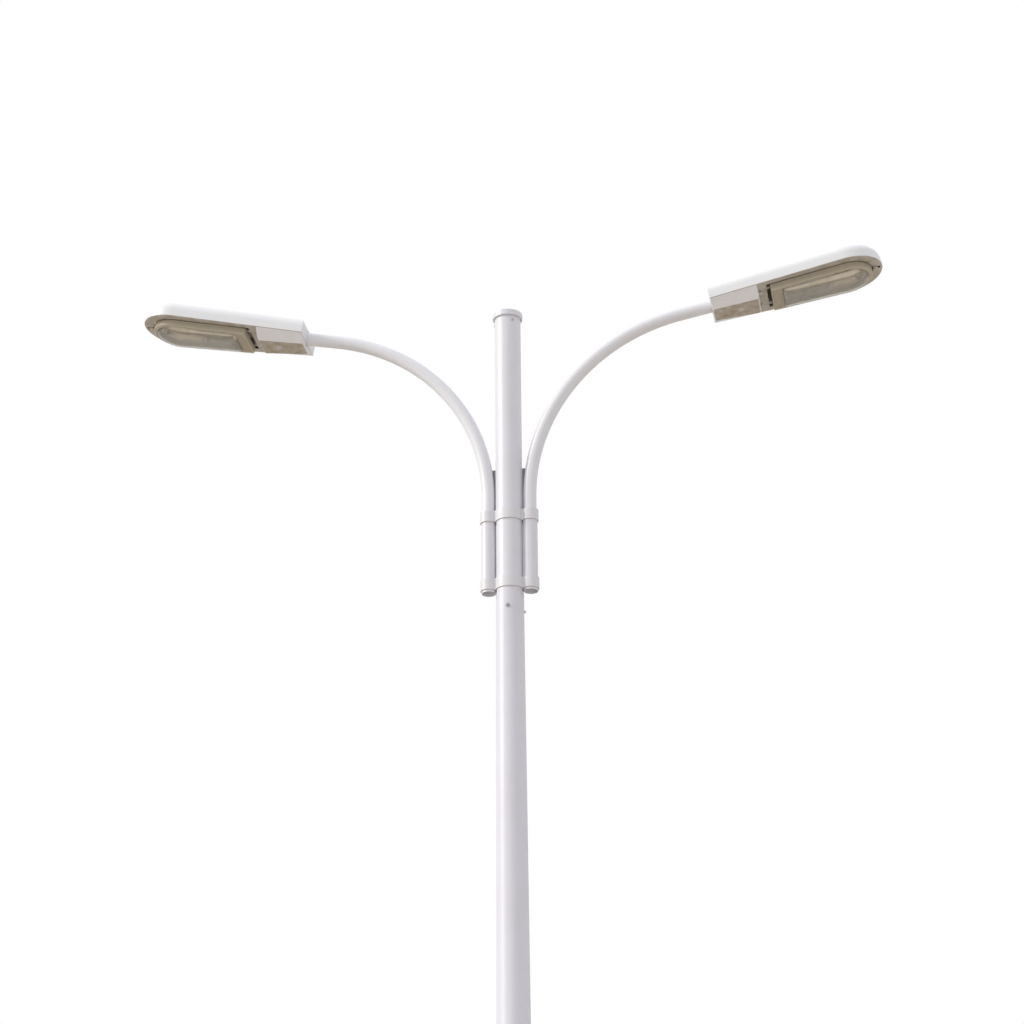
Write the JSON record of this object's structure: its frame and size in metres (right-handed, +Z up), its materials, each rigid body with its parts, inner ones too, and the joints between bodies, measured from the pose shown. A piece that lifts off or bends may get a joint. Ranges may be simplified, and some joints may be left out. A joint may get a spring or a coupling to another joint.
{
  "type": "twin-arm street light",
  "caption": "Tall tapered pole with an access door, a banded bracket and two swept arms that carry hinged, glass-bowled luminaires.",
  "frame": {"origin": "middle of the base plate's underside, on the pole's axis", "axes": "+Z up along the pole; +X along the right-hand arm; the access door is on the -Y side"},
  "size_m": [3.4824, 0.4, 8.1659],
  "materials": {
    "pole_paint": "semi-gloss white, lightly weathered",
    "galvanised_plate": "hot-dip galvanised",
    "stainless_fasteners": "satin",
    "grey_primer": "matte grey",
    "canopy_paint": "sheet, painted satin white",
    "cover_paint": "sheet, painted satin pale grey, dusty beneath",
    "frame_paint": "cast, painted satin, dusty beige",
    "lens_glass": "clear, slightly dusty",
    "black_rubber": "matte",
    "bright_reflector": "brightened and anodised",
    "lamp_envelope": "clear tubular glass",
    "lampholder_ceramic": "glazed",
    "clamp_casting": "zinc plated",
    "ballast_enamel": "black varnish",
    "ignitor_case": "matte",
    "capacitor_can": "drawn can",
    "terminal_ceramic": "unglazed",
    "fuse_board_laminate": "varnished laminate",
    "fuse_base_bakelite": "moulded",
    "fuse_carrier_plastic": "moulded",
    "earth_brass": "satin"
  },
  "bodies": {
    "column": {"pole_shaft": "pole_paint", "base_plate": "galvanised_plate", "base_gussets": "pole_paint", "door_frame": "galvanised_plate", "door_hinge_pins": "stainless_fasteners", "fuse_board": "fuse_board_laminate", "fuse_bases": "fuse_base_bakelite", "fuse_carriers": "fuse_carrier_plastic", "earth_bolt": "earth_brass", "head_tube": "pole_paint", "head_set_bolts": "stainless_fasteners", "head_cap": "pole_paint", "cap_screws": "stainless_fasteners", "upper_band": "pole_paint", "lower_band": "pole_paint", "sleeve_left": "pole_paint", "sleeve_right": "pole_paint", "web_left": "grey_primer", "web_right": "grey_primer", "arm_set_screws": "stainless_fasteners", "arm_left": "pole_paint", "arm_right": "pole_paint", "saddle_bolts": "stainless_fasteners", "luminaire_hinge_pins": "stainless_fasteners", "canopy_left": "canopy_paint", "reflector_left": "bright_reflector", "lamp_left": "lamp_envelope", "lampholder_left": "lampholder_ceramic", "saddle_clamp_left": "clamp_casting", "gear_tray_left": "galvanised_plate", "ballast_left": "ballast_enamel", "ignitor_left": "ignitor_case", "capacitor_left": "capacitor_can", "terminal_block_left": "terminal_ceramic", "canopy_right": "canopy_paint", "reflector_right": "bright_reflector", "lamp_right": "lamp_envelope", "lampholder_right": "lampholder_ceramic", "saddle_clamp_right": "clamp_casting", "gear_tray_right": "galvanised_plate", "ballast_right": "ballast_enamel", "ignitor_right": "ignitor_case", "capacitor_right": "capacitor_can", "terminal_block_right": "terminal_ceramic"},
    "lens_left": {"lens_frame_left": "frame_paint", "lens_glass_left": "lens_glass", "lens_gasket_left": "black_rubber"},
    "lens_catch_left": {"lens_catch_left": "cover_paint"},
    "gear_cover_left": {"gear_cover_left": "cover_paint"},
    "gear_cover_screw_left": {"gear_cover_screw_left": "stainless_fasteners"},
    "lens_right": {"lens_frame_right": "frame_paint", "lens_glass_right": "lens_glass", "lens_gasket_right": "black_rubber"},
    "lens_catch_right": {"lens_catch_right": "cover_paint"},
    "gear_cover_right": {"gear_cover_right": "cover_paint"},
    "gear_cover_screw_right": {"gear_cover_screw_right": "stainless_fasteners"},
    "access_door": {"access_door": "pole_paint"},
    "door_lock": {"door_lock_barrel": "stainless_fasteners", "door_lock_cam": "stainless_fasteners"}
  },
  "joints": [
    {"name": "lens_hinge_left", "type": "hinge", "parent": "column", "child": "lens_left", "pos_m": [-1.21831, 0, 7.99702], "axis": [0, -1, 0], "range_deg": [0, 70]},
    {"name": "lens_catch_slide_left", "type": "slide", "parent": "column", "child": "lens_catch_left", "axis": [0.9806, 0, -0.1959], "range_m": [0, 0.006]},
    {"name": "gear_cover_hinge_left", "type": "hinge", "parent": "column", "child": "gear_cover_left", "pos_m": [-1.1781, 0, 7.97369], "axis": [0, 1, 0], "range_deg": [0, 55]},
    {"name": "gear_cover_screw_turn_left", "type": "hinge", "parent": "gear_cover_left", "child": "gear_cover_screw_left", "pos_m": [-1.08709, 0, 7.93409], "axis": [0.1959, 0, 0.9806], "range_deg": [0, 90]},
    {"name": "lens_hinge_right", "type": "hinge", "parent": "column", "child": "lens_right", "pos_m": [1.21831, 0, 7.99702], "axis": [0, 1, 0], "range_deg": [0, 70]},
    {"name": "lens_catch_slide_right", "type": "slide", "parent": "column", "child": "lens_catch_right", "axis": [-0.9806, 0, -0.1959], "range_m": [0, 0.006]},
    {"name": "gear_cover_hinge_right", "type": "hinge", "parent": "column", "child": "gear_cover_right", "pos_m": [1.1781, 0, 7.97369], "axis": [0, -1, 0], "range_deg": [0, 55]},
    {"name": "gear_cover_screw_turn_right", "type": "hinge", "parent": "gear_cover_right", "child": "gear_cover_screw_right", "pos_m": [1.08709, 0, 7.93409], "axis": [-0.1959, 0, 0.9806], "range_deg": [0, 90]},
    {"name": "access_door_hinge", "type": "hinge", "parent": "column", "child": "access_door", "pos_m": [-0.073, -0.10321, 0.8], "axis": [0, 0, -1], "range_deg": [0, 110]},
    {"name": "door_lock_turn", "type": "hinge", "parent": "access_door", "child": "door_lock", "pos_m": [0.035, -0.10171, 0.8], "axis": [0, 1, 0], "range_deg": [0, 90]}
  ]
}
